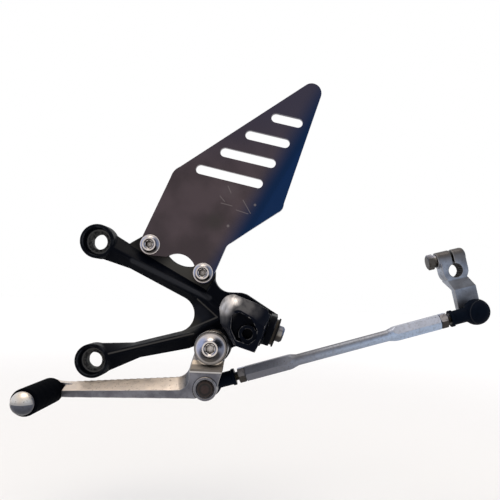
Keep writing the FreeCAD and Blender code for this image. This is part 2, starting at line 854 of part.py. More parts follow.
def gear_lever():
    body = new_body("gear_lever", (PIVOT[0], 0, PIVOT[1]))
    back = sketch_on(body, "lever_back_outline", "XZ_Plane", (0, 0, S.lever_back))
    outline(back, corners("lever_back"))
    front = sketch_on(body, "lever_front_outline", "XZ_Plane", (0, 0, S.lever_front))
    outline(front, corners("lever_front"))
    loft(body, [back, front])

    eye = sketch_on(body, "lever_eye", "XZ_Plane", (0, 0, EYE_BACK))
    pad(body, circle(eye, 0, 0, S.eye_d), S.eye_t)
    boss = sketch_on(body, "stud_boss", "XZ_Plane", (0, 0, S.lever_back))
    pad(body, circle(boss, *STUD, S.stud_boss_d), S.lever_front + S.stud_boss_rise - S.lever_back)

    neck_t = S.rubber_start - S.end_float - S.toe_neck_back
    neck = sketch_on(body, "toe_neck", "XZ_Plane", (0, 0, S.toe_neck_back))
    neck_r = S.toe_neck_d / 2
    outline(neck, [
        (*near(TOE, 0, -neck_r), -neck_r),
        (*near(TOE, -neck_r, 0), -neck_r),
        near(TOE, 0, neck_r),
        near(TOE, S.toe_neck_run, S.toe_neck_high),
        near(TOE, S.toe_neck_run, -S.toe_neck_low),
    ])
    pad(body, neck, neck_t)

    peg = sketch_on(body, "toe_peg", "XY_Plane", (TOE[0], 0, TOE[1]))
    dome_start = S.rubber_start + S.rubber_length
    core, dome = S.toe_core_d / 2, S.toe_dome_d / 2
    dome_r = dome * dome / (S.toe_dome_h * 2) + S.toe_dome_h / 2
    outline(peg, [
        (0, -S.toe_neck_back),
        (0, -dome_start - S.toe_dome_rim - S.toe_dome_h, dome_r),
        (dome, -dome_start - S.toe_dome_rim),
        (dome, -dome_start),
        (core, -dome_start),
        (core, -S.toe_neck_back),
    ])
    feature(body, "Revolution", peg, ReferenceAxis=(peg, ["V_Axis"]), Angle=360.0)

    bush_d = S.pivot_shoulder_d + S.running_gap * 2 + S.bush_wall * 2
    pocket(body, circle(sketch_on(body, "bush_bore", "XZ_Plane"), 0, 0, bush_d + S.fit_gap * 2))
    pocket(body, circle(sketch_on(body, "stud_bore", "XZ_Plane"), *STUD, S.rivet_core_d + S.fit_gap * 2))
    spot = sketch_on(body, "stud_spot_face", "XZ_Plane", (0, 0, S.lever_front + S.stud_boss_rise))
    pocket(body, circle(spot, *STUD, S.stud_spot_d), S.stud_boss_rise)


def lever_bush():
    bore_d = S.pivot_shoulder_d + S.running_gap * 2
    base = (PIVOT[0], -EYE_FRONT, PIVOT[1])
    ring("lever_bush", base, (), "V_Axis", bore_d, bore_d + S.bush_wall * 2, S.eye_t)


def pivot_washer():
    ring("pivot_washer", (PIVOT[0], -HEAD_SEAT, PIVOT[1]), (), "V_Axis",
         S.pivot_shoulder_d + S.fit_gap * 2, S.pivot_washer_d, S.pivot_washer_t)


def toe_rubber():
    start = S.rubber_start
    body = new_body("toe_rubber", (PIVOT[0] - S.toe_reach, -start - S.rubber_length + S.fit_gap,
                                   PIVOT[1] - S.toe_drop))
    bore, outside = S.toe_core_d / 2 + S.fit_gap, S.rubber_d / 2
    run = S.rubber_length - S.fit_gap * 2
    lip = S.rubber_lip
    turned(body, "rubber_section", [
        (bore, 0),
        (outside - lip, 0, lip),
        (outside, lip),
        (outside, run - lip, lip),
        (outside - lip, run),
        (bore, run),
    ], "V_Axis")


# Folding footpeg

def pin_base(along):
    """Point on the footpeg pin's axis, measured from the middle of the clevis."""
    return (
        PEG[0] + along * cosine(S.peg_tilt),
        -S.peg_depth,
        PEG[1] - along * sine(S.peg_tilt),
    )


PIN_TURN = [((0, 1, 0), S.peg_tilt)]


def footpeg_knuckle():
    body = new_body("footpeg_knuckle", pin_base(length(0)), PIN_TURN)
    hood_root, hood_nose = corners("hood_root"), corners("hood_nose")
    brim = sketch_on(body, "hood_brim", "XZ_Plane", (0, 0, S.hood_back))
    pad(body, outline(brim, hood_root), S.hood_bend - S.hood_back)
    slope_root = outline(sketch_on(body, "slope_root", "XZ_Plane", (0, 0, S.hood_bend)), hood_root)
    slope_nose = outline(sketch_on(body, "slope_nose", "XZ_Plane", (0, 0, S.hood_front)), hood_nose)
    loft(body, [slope_root, slope_nose])
    tongue = sketch_on(body, "tongue", "YZ_Plane")
    outline(tongue, [
        (-S.hood_back - S.tongue_root, -S.knuckle_r - S.tongue_flare),
        (0, -S.knuckle_r, S.knuckle_r),
        (S.knuckle_r, 0, S.knuckle_r),
        (0, S.knuckle_r),
        (-S.hood_back - S.tongue_root, S.knuckle_r + S.tongue_flare),
    ])
    pad(body, tongue, S.knuckle_w, Midplane=True)

    recess = sketch_on(body, "recess", "XZ_Plane", (0, 0, S.hood_front))
    pocket(body, outline(recess, corners("recess")), S.recess_depth)
    boss = sketch_on(body, "bar_boss", "XZ_Plane", (0, 0, S.hood_front - S.recess_depth))
    pad(body, circle(boss, S.bar_x, -S.bar_drop, S.socket_boss_d), S.socket_boss_h)
    thread = sketch_on(body, "bar_thread", "XZ_Plane", (0, 0, S.hood_front))
    circle(thread, S.bar_x, -S.bar_drop, S.bar_thread_d)
    pocket(body, thread, S.hood_front - S.pin_d / 2 - S.bar_floor)
    bore = sketch_on(body, "knuckle_bore", "YZ_Plane")
    circle(bore, 0, 0, S.pin_d + S.running_gap * 2)
    feature(body, "Pocket", bore, Length=S.knuckle_w * 3, Midplane=True)


def footpeg_pin():
    """Clevis pin along local X with a head, a clip groove and a chamfered tail."""
    head_side = EAR_OUTER
    body = new_body("footpeg_pin", pin_base(-head_side), PIN_TURN)
    groove = head_side * 2 + S.washer_t + S.fit_gap
    groove_end = groove + S.clip_t + S.fit_gap * 2
    end = head_side * 2 + S.pin_tail
    pin_r, groove_r = S.pin_d / 2, S.groove_d / 2
    turned(body, "pin_profile", [
        (-S.pin_head_t, 0),
        (-S.pin_head_t, S.pin_head_d / 2 - S.pin_head_bevel),
        (-S.pin_head_t + S.pin_head_bevel, S.pin_head_d / 2),
        (0, S.pin_head_d / 2),
        (0, pin_r),
        (groove, pin_r),
        (groove, groove_r),
        (groove_end, groove_r),
        (groove_end, pin_r),
        (end - S.pin_bevel, pin_r),
        (end, pin_r - S.pin_bevel),
        (end, 0),
    ], "H_Axis")


def pin_washer():
    bore_d = S.pin_d + S.fit_gap * 2
    ring("pin_washer", pin_base(EAR_OUTER), PIN_TURN, "H_Axis", bore_d, S.washer_d, S.washer_t)


def pin_clip():
    """E-clip: an open ring with three inner teeth that sit in the pin's groove."""
    start = EAR_OUTER + S.washer_t + S.fit_gap * 2
    body = new_body("pin_clip", pin_base(start), PIN_TURN)
    disc = circle(sketch_on(body, "clip_disc", "YZ_Plane"), 0, 0, S.clip_d)
    pad(body, disc, S.clip_t)
    mouth = sketch_on(body, "clip_mouth", "YZ_Plane", (0, 0, 0), [((0, 0, 1), 90)])
    seat_r = S.groove_d / 2 + S.fit_gap
    outline(mouth, [
        (-seat_r, 0, -seat_r),
        (0, seat_r, -seat_r),
        (seat_r, 0),
        (seat_r, -S.clip_d),
        (-seat_r, -S.clip_d),
    ])
    pocket(body, mouth)
    for index, side in enumerate((-1, 1), start=1):
        turn = [((0, 0, 1), S.clip_relief_turn * side + 90)]
        relief = sketch_on(body, f"clip_relief_{index}", "YZ_Plane", (0, 0, 0), turn)
        circle(relief, 0, S.groove_d / 2 + S.clip_relief_rise, S.clip_relief_d)
        pocket(body, relief)


# Ball joints and link rod

def front_link():
    return ((FRONT_BALL[0], -ROD_DEPTH, FRONT_BALL[1]), [((0, 1, 0), -S.rod_rise)])


def rear_link():
    return ((REAR_BALL[0], -ROD_DEPTH, REAR_BALL[1]), [((0, 1, 0), -S.rod_rise), ((0, 0, 1), 180)])


def ball_stud(label, frame, grip):
    """Ball on a necked stud: a collar seats on its carrier and a riveted tail passes through."""
    body = new_body(label, *frame)
    ball_r, neck_r = S.ball_d / 2, S.stud_neck_d / 2
    neck_y = root(ball_r * ball_r - neck_r * neck_r)
    reach = S.stud_reach
    core_r, rivet_r = S.rivet_core_d / 2, S.rivet_d / 2
    turned(body, f"{label}_turning", [
        (0, ball_r, ball_r),
        (ball_r, 0, -ball_r),
        (neck_r, -neck_y),
        (neck_r, S.stud_collar_t - reach),
        (S.stud_collar_d / 2, S.stud_collar_t - reach),
        (S.stud_collar_d / 2, -reach),
        (core_r, -reach),
        (core_r, -reach - grip),
        (rivet_r, -reach - grip),
        (rivet_r - S.rivet_bevel, -reach - grip - S.rivet_t),
        (0, -reach - grip - S.rivet_t),
    ], "V_Axis")


def rod_end(label, frame):
    """Ball-joint housing: a cup that opens towards the stud, with a threaded shank along local X."""
    body = new_body(label, *frame)
    cup_r = S.ball_d / 2 + S.fit_gap + S.seat_wall
    outer_r = cup_r + S.housing_wall
    half, mouth, bevel = S.housing_half, -S.housing_mouth, S.housing_bevel
    floor = half - S.housing_wall
    turned(body, f"{label}_cup", [
        (0, floor),
        (cup_r, floor),
        (cup_r, mouth),
        (outer_r - bevel, mouth),
        (outer_r, mouth + bevel),
        (outer_r, half - bevel),
        (outer_r - bevel, half),
        (0, half),
    ], "V_Axis")
    start = cup_r + S.shank_root
    collar = sketch_on(body, f"{label}_collar", "YZ_Plane", (0, 0, start))
    pad(body, circle(collar, 0, 0, S.shank_d), S.boot_length - start)
    thread_start = S.boot_length - S.shank_root
    thread_end = S.nut_start + S.nut_t + S.thread_grip
    shank = sketch_on(body, f"{label}_thread", "YZ_Plane", (0, 0, thread_start))
    pad(body, circle(shank, 0, 0, S.thread_d), thread_end - thread_start)


def ball_seat(label, frame):
    body = new_body(label, *frame)
    hollow_r = S.ball_d / 2 + S.running_gap
    outer_r = S.ball_d / 2 + S.seat_wall
    top = S.housing_half - S.housing_wall - S.fit_gap
    low = S.ball_d / 3
    low_r = root(hollow_r * hollow_r - low * low)
    high_r = root(hollow_r * hollow_r - top * top)
    turned(body, f"{label}_section", [
        (high_r, top),
        (outer_r, top),
        (outer_r, -low),
        (low_r, -low, hollow_r),
        (hollow_r, 0, hollow_r),
    ], "V_Axis")


def boot(label, frame):
    """Rubber cover: a ball over the joint with a neck that grips the shank and ends in a lip."""
    body = new_body(label, *frame)
    outer_r, neck_r, lip_r = S.boot_d / 2, S.boot_neck_d / 2, S.boot_lip_d / 2
    hollow_r = outer_r - S.boot_wall
    bore_r = S.shank_d / 2 + S.fit_gap
    lip_start = S.boot_length - S.boot_lip_w
    turned(body, f"{label}_section", [
        (-outer_r, 0, -outer_r),
        (root(outer_r * outer_r - neck_r * neck_r), neck_r),
        (lip_start - S.boot_lip_bevel, neck_r),
        (lip_start, lip_r),
        (S.boot_length, lip_r),
        (S.boot_length, bore_r),
        (root(hollow_r * hollow_r - bore_r * bore_r), bore_r, hollow_r),
        (-hollow_r, 0),
    ], "H_Axis")
    mouth = sketch_on(body, f"{label}_mouth", "XZ_Plane", (0, 0, S.boot_d))
    pocket(body, circle(mouth, 0, 0, S.boot_hole_d), S.boot_d)


def lock_nut(label, frame):
    body = new_body(label, *frame)
    blank = sketch_on(body, f"{label}_blank", "YZ_Plane", (0, 0, S.nut_start))
    pad(body, hexagon(blank, length(0), length(0), S.hex_flats), S.nut_t)
    thread = sketch_on(body, f"{label}_thread", "YZ_Plane", (0, 0, S.nut_start))
    circle(thread, 0, 0, S.thread_d + S.fit_gap * 2)
    feature(body, "Pocket", thread, Length=S.nut_t * 3, Midplane=True)
    corner_r, flat_r = S.hex_flats * HEX_REACH, S.hex_flats / 2
    nut_end = S.nut_start + S.nut_t
    rise = (corner_r - flat_r) * CHAMFER_SLOPE
    for name, face, inward in (("near", S.nut_start, rise), ("far", nut_end, -rise)):
        turned(body, f"{label}_{name}_chamfer", [
            (face, flat_r),
            (face, corner_r),
            (face + inward, corner_r),
        ], "H_Axis", "Groove")


def link_rod():
    """Hexagon bar turned down to a round waist, with cone transitions and a tapped hole at each end."""
    body = new_body("link_rod", *front_link())
    start = S.nut_start + S.nut_t + S.fit_gap
    run = S.rod_span - start * 2
    end = start + run
    blank = sketch_on(body, "rod_blank", "YZ_Plane", (0, 0, start))
    pad(body, hexagon(blank, length(0), length(0), S.hex_flats), run)
    corner_r, flat_r, waist_r = S.hex_flats * HEX_REACH, S.hex_flats / 2, S.rod_waist_d / 2
    turned(body, "rod_waist", [
        (start + S.rod_hex_end, corner_r),
        (start + S.rod_hex_end + S.rod_taper, waist_r),
        (end - S.rod_hex_end - S.rod_taper, waist_r),
        (end - S.rod_hex_end, corner_r),
    ], "H_Axis", "Groove")
    rise = (corner_r - flat_r) * CHAMFER_SLOPE
    for name, face, inward in (("front", start, rise), ("rear", end, -rise)):
        turned(body, f"rod_{name}_chamfer", [
            (face, flat_r - S.hex_bevel),
            (face, corner_r),
            (face + inward, corner_r),
        ], "H_Axis", "Groove")
        hole = sketch_on(body, f"rod_{name}_thread", "YZ_Plane", (0, 0, face))
        circle(hole, 0, 0, S.thread_d + S.fit_gap * 2)
        feature(body, "Pocket", hole, Length=(S.thread_grip + S.thread_clear) * 2, Midplane=True)


# Shift arm

def shift_arm():
    body = new_body("shift_arm", (ARM_AXIS[0], 0, ARM_AXIS[1]), [((0, 1, 0), -S.arm_tilt)])
    lug = (S.arm_offset, -S.arm_length)
    clamp_front = ARM_FRONT - S.arm_set_back
    clamp_back = clamp_front - S.clamp_t
    ring_r, lug_r = S.clamp_d / 2, S.arm_lug_d / 2

    clamp = sketch_on(body, "clamp", "XZ_Plane", (0, 0, clamp_back))
    outline(clamp, [
        (-ring_r, 0, ring_r),
        (0, -ring_r, ring_r),
        (ring_r, 0),
        (ring_r, S.pinch_rise),
        (-ring_r, S.pinch_rise),
    ])
    pad(body, clamp, S.clamp_t)
    boss_y = -(clamp_front + clamp_back) / 2
    boss_r, boss_round = S.clamp_boss_d / 2, S.clamp_boss_round
    turned(body, "pinch_boss", [
        (-S.clamp_boss_left, 0),
        (S.clamp_boss_right, 0),
        (S.clamp_boss_right, boss_r - boss_round, boss_round),
        (S.clamp_boss_right - boss_round, boss_r),
        (-S.clamp_boss_left, boss_r),
    ], "H_Axis", base=(0, boss_y, S.pinch_rise))

    foot = sketch_on(body, "arm_lug", "XZ_Plane", (0, 0, ARM_FRONT - S.arm_lug_t))
    outline(foot, [
        (lug[0] - lug_r, lug[1], lug_r),
        (lug[0], lug[1] - lug_r, lug_r),
        (lug[0] + lug_r, lug[1]),
        (lug[0] + lug_r, -S.joggle_foot),
        (lug[0] - lug_r, -S.joggle_foot),
    ])
    pad(body, foot, S.arm_lug_t)
    upper = sketch_on(body, "joggle_clamp", "XY_Plane", (0, 0, -S.joggle_top))
    joggle_side = S.joggle_w / 2
    outline(upper, [
        (-joggle_side, -clamp_front),
        (joggle_side, -clamp_front),
        (joggle_side, -clamp_back),
        (-joggle_side, -clamp_back),
    ])
    lower = sketch_on(body, "joggle_lug", "XY_Plane", (0, 0, -S.joggle_foot))
    outline(lower, [
        (lug[0] - lug_r, -ARM_FRONT),
        (lug[0] + lug_r, -ARM_FRONT),
        (lug[0] + lug_r, -ARM_FRONT + S.arm_lug_t),
        (lug[0] - lug_r, -ARM_FRONT + S.arm_lug_t),
    ])
    loft(body, [upper, lower])

    pocket(body, circle(sketch_on(body, "shaft_bore", "XZ_Plane"), 0, 0, S.shaft_bore))
    slit = sketch_on(body, "clamp_slit", "XZ_Plane")
    half_slit = S.slit_w / 2
    top = S.pinch_rise + S.clamp_boss_d
    outline(slit, [(-half_slit, 0), (half_slit, 0), (half_slit, top), (-half_slit, top)])
    pocket(body, slit)
    pinch = sketch_on(body, "pinch_hole", "YZ_Plane")
    circle(pinch, boss_y, S.pinch_rise, S.pinch_d + S.fit_gap * 2)
    feature(body, "Pocket", pinch, Length=S.clamp_d * 3, Midplane=True)
    pocket(body, circle(sketch_on(body, "arm_stud_bore", "XZ_Plane"), *lug, S.rivet_core_d + S.fit_gap * 2))


def pinch_bolt():
    """Hexagon bolt along the clamp's boss, with a collar under its head."""
    clamp_mid = ARM_FRONT - S.arm_set_back - S.clamp_t / 2
    tilt = S.arm_tilt
    base = (
        ARM_AXIS[0] - S.pinch_rise * sine(tilt) - S.clamp_boss_left * cosine(tilt),
        -clamp_mid,
        ARM_AXIS[1] + S.pinch_rise * cosine(tilt) - S.clamp_boss_left * sine(tilt),
    )
    body = new_body("pinch_bolt", base, [((0, 1, 0), -tilt)])
    shank_l = S.clamp_boss_left + S.clamp_boss_right
    turned(body, "pinch_shank", [
        (-S.pinch_collar_t, 0),
        (-S.pinch_collar_t, S.pinch_collar_d / 2),
        (0, S.pinch_collar_d / 2),
        (0, S.pinch_d / 2),
        (shank_l - S.pinch_bevel, S.pinch_d / 2),
        (shank_l, S.pinch_d / 2 - S.pinch_bevel),
        (shank_l, 0),
    ], "H_Axis")
    head_start = -S.pinch_collar_t - S.pinch_head_h
    head = sketch_on(body, "pinch_head", "YZ_Plane", (0, 0, head_start))
    pad(body, hexagon(head, length(0), length(0), S.hex_flats, 30), S.pinch_head_h)
    corner_r, flat_r = S.hex_flats * HEX_REACH, S.hex_flats / 2
    turned(body, "pinch_head_chamfer", [
        (head_start, flat_r - S.hex_bevel),
        (head_start, corner_r),
        (head_start + (corner_r - flat_r) * CHAMFER_SLOPE, corner_r),
    ], "H_Axis", "Groove")


def build():
    bracket()
    heel_guard()
    guard_bolts()
    pivot_bolt()
    pivot_washer()
    gear_lever()
    lever_bush()
    toe_rubber()
    footpeg_knuckle()
    footpeg_pin()
    pin_washer()
    pin_clip()
    lever_grip = S.lever_front - S.lever_back
    ball_stud("front_ball_stud", front_link(), lever_grip)
    ball_stud("rear_ball_stud", rear_link(), S.arm_lug_t)
    for end, frame in (("front", front_link()), ("rear", rear_link())):
        rod_end(f"{end}_rod_end", frame)
        ball_seat(f"{end}_ball_seat", frame)
        boot(f"{end}_boot", frame)
        lock_nut(f"{end}_lock_nut", frame)
    link_rod()
    shift_arm()
    pinch_bolt()


def check_and_write():
    doc.recompute()
    failed = [item.Name for item in doc.Objects if {"Invalid", "Error"} & set(item.State)]
    if failed:
        raise RuntimeError(f"failed objects: {failed}")
    os.makedirs("parts", exist_ok=True)
    for item in sub_parts:
        shape = item.Shape
        if shape.isNull() or not shape.isValid():
            raise RuntimeError(f"bad shape: {item.Label}")
    for item in sub_parts:
        item.Shape.exportStep(f"parts/{item.Label}.step")


build()
check_and_write()
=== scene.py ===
import json
import math

import bpy
from mathutils import Matrix, Vector


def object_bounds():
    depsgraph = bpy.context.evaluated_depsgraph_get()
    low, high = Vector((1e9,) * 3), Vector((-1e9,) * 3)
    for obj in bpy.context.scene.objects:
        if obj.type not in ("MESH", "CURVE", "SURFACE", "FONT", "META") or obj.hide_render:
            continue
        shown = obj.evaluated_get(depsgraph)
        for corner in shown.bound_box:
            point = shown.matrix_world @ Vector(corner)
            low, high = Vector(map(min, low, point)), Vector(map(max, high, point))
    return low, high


# Used left-hand footpeg bracket with heel guard, gear lever and shift linkage, seen square on from outboard.

MM = 0.001

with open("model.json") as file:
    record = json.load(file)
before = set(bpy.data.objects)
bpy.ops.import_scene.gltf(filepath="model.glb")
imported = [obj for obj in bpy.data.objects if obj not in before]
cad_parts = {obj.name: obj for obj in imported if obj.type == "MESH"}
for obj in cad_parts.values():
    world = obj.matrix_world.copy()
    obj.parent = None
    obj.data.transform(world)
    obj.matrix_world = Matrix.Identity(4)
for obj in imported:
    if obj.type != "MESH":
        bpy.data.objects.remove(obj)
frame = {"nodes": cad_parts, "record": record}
cad_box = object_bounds()
nodes = frame["nodes"]


# Materials

class Paint:
    """A material's node tree, with short calls for the nodes that the finishes share.

    Places are in the part's own frame at rest, which every piece carries as its object coordinates.
    """

    def __init__(self, name, **constants):
        self.material = bpy.data.materials.new(name)
        self.material.use_nodes = True
        self.tree = self.material.node_tree
        self.shader = self.tree.nodes["Principled BSDF"]
        coordinates = self.add("ShaderNodeTexCoord").outputs
        self.place = coordinates["Object"]
        self.normal = coordinates["Normal"]
        for socket, value in constants.items():
            self.shader.inputs[socket.replace("_", " ")].default_value = value

    def add(self, kind, inputs=(), **settings):
        node = self.tree.nodes.new(kind)
        for name, value in settings.items():
            setattr(node, name, value)
        for key, value in dict(inputs).items():
            self.feed(node.inputs[key], value)
        return node

    def feed(self, socket, value):
        if isinstance(value, bpy.types.NodeSocket):
            self.tree.links.new(value, socket)
        else:
            socket.default_value = value

    def set(self, **sockets):
        for name, value in sockets.items():
            self.feed(self.shader.inputs[name.replace("_", " ")], value)

    def noise(self, size, detail=3.0, stretch=(1.0, 1.0, 1.0)):
        """Noise whose largest features are about size metres across."""
        place = self.add("ShaderNodeMapping", {"Vector": self.place, "Scale": stretch}).outputs["Vector"]
        inputs = {"Vector": place, "Scale": 1 / size, "Detail": detail}
        return self.add("ShaderNodeTexNoise", inputs).outputs["Fac"]

    def span(self, value, low, high, start=0.0, end=1.0):
        """Moves value from low..high to start..end, with soft ends."""
        inputs = {"Value": value, "From Min": low, "From Max": high, "To Min": start, "To Max": end}
        return self.add("ShaderNodeMapRange", inputs, interpolation_type="SMOOTHSTEP").outputs["Result"]

    def math(self, operation, first, second=0.0):
        return self.add("ShaderNodeMath", {0: first, 1: second}, operation=operation).outputs[0]

    def product(self, first, *others):
        for other in others:
            first = self.math("MULTIPLY", first, other)
        return first

    def highest(self, first, *others):
        for other in others:
            first = self.math("MAXIMUM", first, other)
        return first

    def vector(self, operation, first, second, output="Value"):
        return self.add("ShaderNodeVectorMath", {0: first, 1: second}, operation=operation).outputs[output]

    def mix(self, share, first, second):
        return self.add("ShaderNodeMix", {0: share, 6: first, 7: second}, data_type="RGBA").outputs[2]

    def cover(self, base, over, *shares):
        """Lays the colour over on base, as far as the shares multiplied together say."""
        return self.mix(self.product(*shares), base, over)

    def along(self, direction):
        """Metres from the origin along direction."""
        return self.vector("DOT_PRODUCT", self.place, direction)

    def near(self, point, inner, outer):
        """1 within inner millimetres of a point, falling to 0 at outer."""
        return self.span(self.vector("DISTANCE", self.place, millimetres(point)), outer * MM, inner * MM)

    def ring(self, point, inner, outer, soft):
        """1 between inner and outer millimetres from a point, with edges that are soft millimetres wide."""
        disc = self.near(point, outer, outer + soft)
        return self.math("SUBTRACT", disc, self.near(point, inner, inner + soft))

    def band(self, direction, middle, half_width):
        """1 on a plane across direction, middle millimetres from the origin, falling to 0 at half_width."""
        offset = self.math("SUBTRACT", self.along(direction), middle * MM)
        return self.span(self.math("ABSOLUTE", offset), half_width * MM, half_width * 0.4 * MM)

    def facing(self, direction, low, high, start=0.0, end=1.0):
        """Rises from start to end as the surface turns to direction."""
        return self.span(self.vector("DOT_PRODUCT", self.normal, direction), low, high, start, end)

    def scratch(self, start, end, half_width, flat=False):
        """1 along a straight line between two points in millimetres; flat leaves out the depth along Y."""
        start, run = millimetres(start), millimetres(end) - millimetres(start)
        offset = self.vector("SUBTRACT", self.place, start, "Vector")
        if flat:
            offset = self.vector("MULTIPLY", offset, (1.0, 0.0, 1.0), "Vector")
        share = self.vector("DOT_PRODUCT", offset, run / run.length_squared)
        share = self.add("ShaderNodeClamp", {"Value": share}).outputs["Result"]
        foot = self.add("ShaderNodeVectorMath", {0: run, "Scale": share}, operation="SCALE").outputs["Vector"]
        return self.span(self.vector("DISTANCE", offset, foot), half_width * MM, half_width * 0.3 * MM)

    def ripple(self, direction, pitch):
        """A wave from 0 to 1 along direction, pitch millimetres long."""
        turns = self.along(Vector(direction) * (math.tau / (pitch * MM)))
        return self.span(self.math("SINE", turns), -1.0, 1.0)

    def convex_edges(self, low, high):
        """Rises from 0 to 1 on convex edges."""
        return self.span(self.add("ShaderNodeNewGeometry").outputs["Pointiness"], low, high)

    def hollows(self, reach, low=0.75, high=0.3):
        """Rises from 0 to 1 in corners and holes narrower than reach millimetres."""
        open_share = self.add("ShaderNodeAmbientOcclusion", {"Distance": reach * MM}, samples=8).outputs["AO"]
        return self.span(open_share, low, high)

    def bump(self, height, depth, radius=0.0):
        """Bump of depth metres, over edges rounded by radius metres."""
        inputs = {"Height": height, "Distance": depth, "Strength": 1.0}
        if radius:
            inputs["Normal"] = self.add("ShaderNodeBevel", {"Radius": radius}, samples=4).outputs["Normal"]
        self.set(Normal=self.add("ShaderNodeBump", inputs).outputs["Normal"])


def colour(red, green, blue):
    return (red, green, blue, 1.0)


def millimetres(point):
    return Vector(point) * MM


def leaning(degrees):
    """Direction in the side view, rearwards and up by degrees."""
    return (math.cos(math.radians(degrees)), 0.0, math.sin(math.radians(degrees)))


OUTBOARD = (0.0, -1.0, 0.0)
FORWARD = (-1.0, 0.0, 0.0)
REARWARD = (1.0, 0.0, 0.0)
DOWN = (0.0, 0.0, -1.0)
UP = (0.0, 0.0, 1.0)
# Dark brown, laid on as dirt and also as painted shade.
DIRT_AND_SHADE = colour(0.030, 0.026, 0.022)

# Places on the bracket, in millimetres

LUGS = ((0.0, -7.0, 41.75), (0.0, -7.0, -41.75))
FLANGE = (57.5, -5.0, 22.4)
FLANGE_FACE = 5.0
ARROW_FACET = (74.8, -5.0, -5.2)
FORK_FACET = (68.0, -5.0, -16.0)
UPPER_RIDGE = ((25.2, 0.0, 29.1), (79.5, 0.0, 5.7))
FORK_EDGES = (
    ((11.9, 0.0, -36.0), (70.1, 0.0, -19.4)),
    ((71.8, 0.0, 4.5), (86.0, 0.0, -7.3)),
    ((86.0, 0.0, -7.3), (58.0, 0.0, -20.8)),
)

# Places on the heel guard, the last number of a chip being its reach

GUARD_SCRATCHES = (
    ((83.6, -7.5, 77.8), (87.0, -7.5, 74.1)),
    ((99.9, -7.5, 75.7), (105.6, -7.5, 66.5)),
    ((95.3, -7.5, 68.5), (103.9, -7.5, 66.1)),
    ((84.5, -7.5, 72.9), (92.4, -7.5, 71.2)),
    ((88.9, -7.5, 85.1), (91.3, -7.5, 80.3)),
)
GUARD_CHIPS = (((90.2, -7.5, 57.0), 1.3), ((108.5, -7.5, 72.6), 1.2))
GUARD_SMUDGE = (80.9, -7.5, 59.4)
GUARD_RUB = (90.5, -7.5, 82.4)
GUARD_ACROSS = leaning(-28.8)
GUARD_BEND = Vector(GUARD_ACROSS).dot(Vector((113.5, 0.0, 72.9)))

# Places on the footpeg knuckle and its pin

HOOD_WEAR = ((95.2, -38.0, 3.7), (91.5, -36.0, 1.6), (94.0, -38.0, -3.0), (97.5, -38.0, 6.0))
HOOD_RUB = (106.0, -38.0, 2.0)
HOOD_CHIP = (113.0, -34.0, 3.0)
PIN_AXIS = leaning(-17.4)
PIN_WASHER = 124.6

# Places on the gear lever

LEVER_ARM = (30.0, -21.0, -54.0)
LEVER_SLOPE = (83.0, -24.0, -42.0)
SLOPE_TOP = -37.6
SLOPE_MIDDLE = -41.2
SLOPE_LEDGE = -43.7
WEB_EDGE = (92.8, -26.0, -48.5)
WEB_ACROSS = (0.975, 0.0, -0.22)
WEB_SIDE = 100.8
PIVOT_HEAD = (83.9, -29.0, -27.6)
RIVET = (81.5, -27.6, -54.9)
TOE_RUBBER = (-23.3, -40.0, -61.4)
TOE_DOME = (-23.3, -66.0, -61.4)
TOE_PARTING = 61.0

# Places on the link rod and the shift arm

ROD_AXIS = leaning(17.6)
ROD_WAIST = (174.0, -6.0, -25.0)
ROD_FRONT = (106.0, -6.0, -46.0)
BOOT_CAPS = ((81.5, -6.0, -54.9), (268.3, -6.0, 4.4))
BOOT_CAP_AXIS = (0.30, -0.95, 0.0)
SHIFT_ARM = (259.0, 12.0, 27.0)
SHIFT_LUG = (268.3, 6.0, 8.0)
SHAFT_BORE = (257.6, 0.0, 33.9)
SHAFT_SPLINES = 22.0
PINCH_HEAD = (239.0, 13.6, 35.0)


def bracket_paint():
    paint = Paint("bracket_paint", Specular_IOR_Level=0.025)
    base = paint.mix(paint.noise(14 * MM, 4), colour(0.0008, 0.0013, 0.0030), colour(0.0024, 0.0031, 0.0054))
    patches = paint.span(paint.noise(6 * MM, 6), 0.38, 0.62)
    # Paler convex edges: worn paint, and a painted highlight along the edges.
    base = paint.cover(base, colour(0.050, 0.053, 0.060), paint.convex_edges(0.515, 0.56), patches)
    dust = paint.product(paint.band(OUTBOARD, FLANGE_FACE, 0.6), paint.facing(OUTBOARD, 0.85, 0.97))
    base = paint.cover(base, colour(0.022, 0.021, 0.019), dust, paint.span(patches, 0, 1, 0.6, 1.0))
    base = paint.cover(base, colour(0.062, 0.058, 0.051), dust, paint.near(FLANGE, 8.0, 20.0))
    sheen = paint.span(paint.noise(6 * MM, 5), 0.3, 0.7, 0.32, 0.44)
    # Painted sheen and highlights in the fork, and worn seats in the lugs.
    paint.set(
        Base_Color=lug_wear(paint, fork_painted_sheen(paint, base)),
        Roughness=paint.math("ADD", sheen, paint.product(paint.facing(DOWN, 0.2, 0.7), 0.35)),
    )
    paint.bump(paint.noise(0.9 * MM, 4), 0.008 * MM)
    return paint.material


def fork_painted_sheen(paint, base):
    """Painted sheen on two facets in the fork, and painted highlights along the arms' ridges and edges."""
    # Painted bluish sheen on the arrow facet, and painted warm sheen on the facet below it.
    base = paint.cover(base, colour(0.013, 0.014, 0.019), paint.near(ARROW_FACET, 4.0, 11.0), 0.7)
    base = paint.cover(base, colour(0.040, 0.037, 0.030), paint.near(FORK_FACET, 3.0, 11.0), 0.7)
    front = paint.facing(OUTBOARD, 0.2, 0.6)
    # Painted sheen along the upper arm's ridge, on faces turned outboard.
    ridge = paint.scratch(*UPPER_RIDGE, 2.4, flat=True)
    base = paint.cover(base, colour(0.026, 0.027, 0.031), ridge, front, 0.8)
    # Painted highlights along the lower arm's edge and along the arrow's two edges.
    edges = paint.highest(*(paint.scratch(*line, 0.8, flat=True) for line in FORK_EDGES))
    return paint.cover(base, colour(0.075, 0.071, 0.066), edges, front, 0.65)


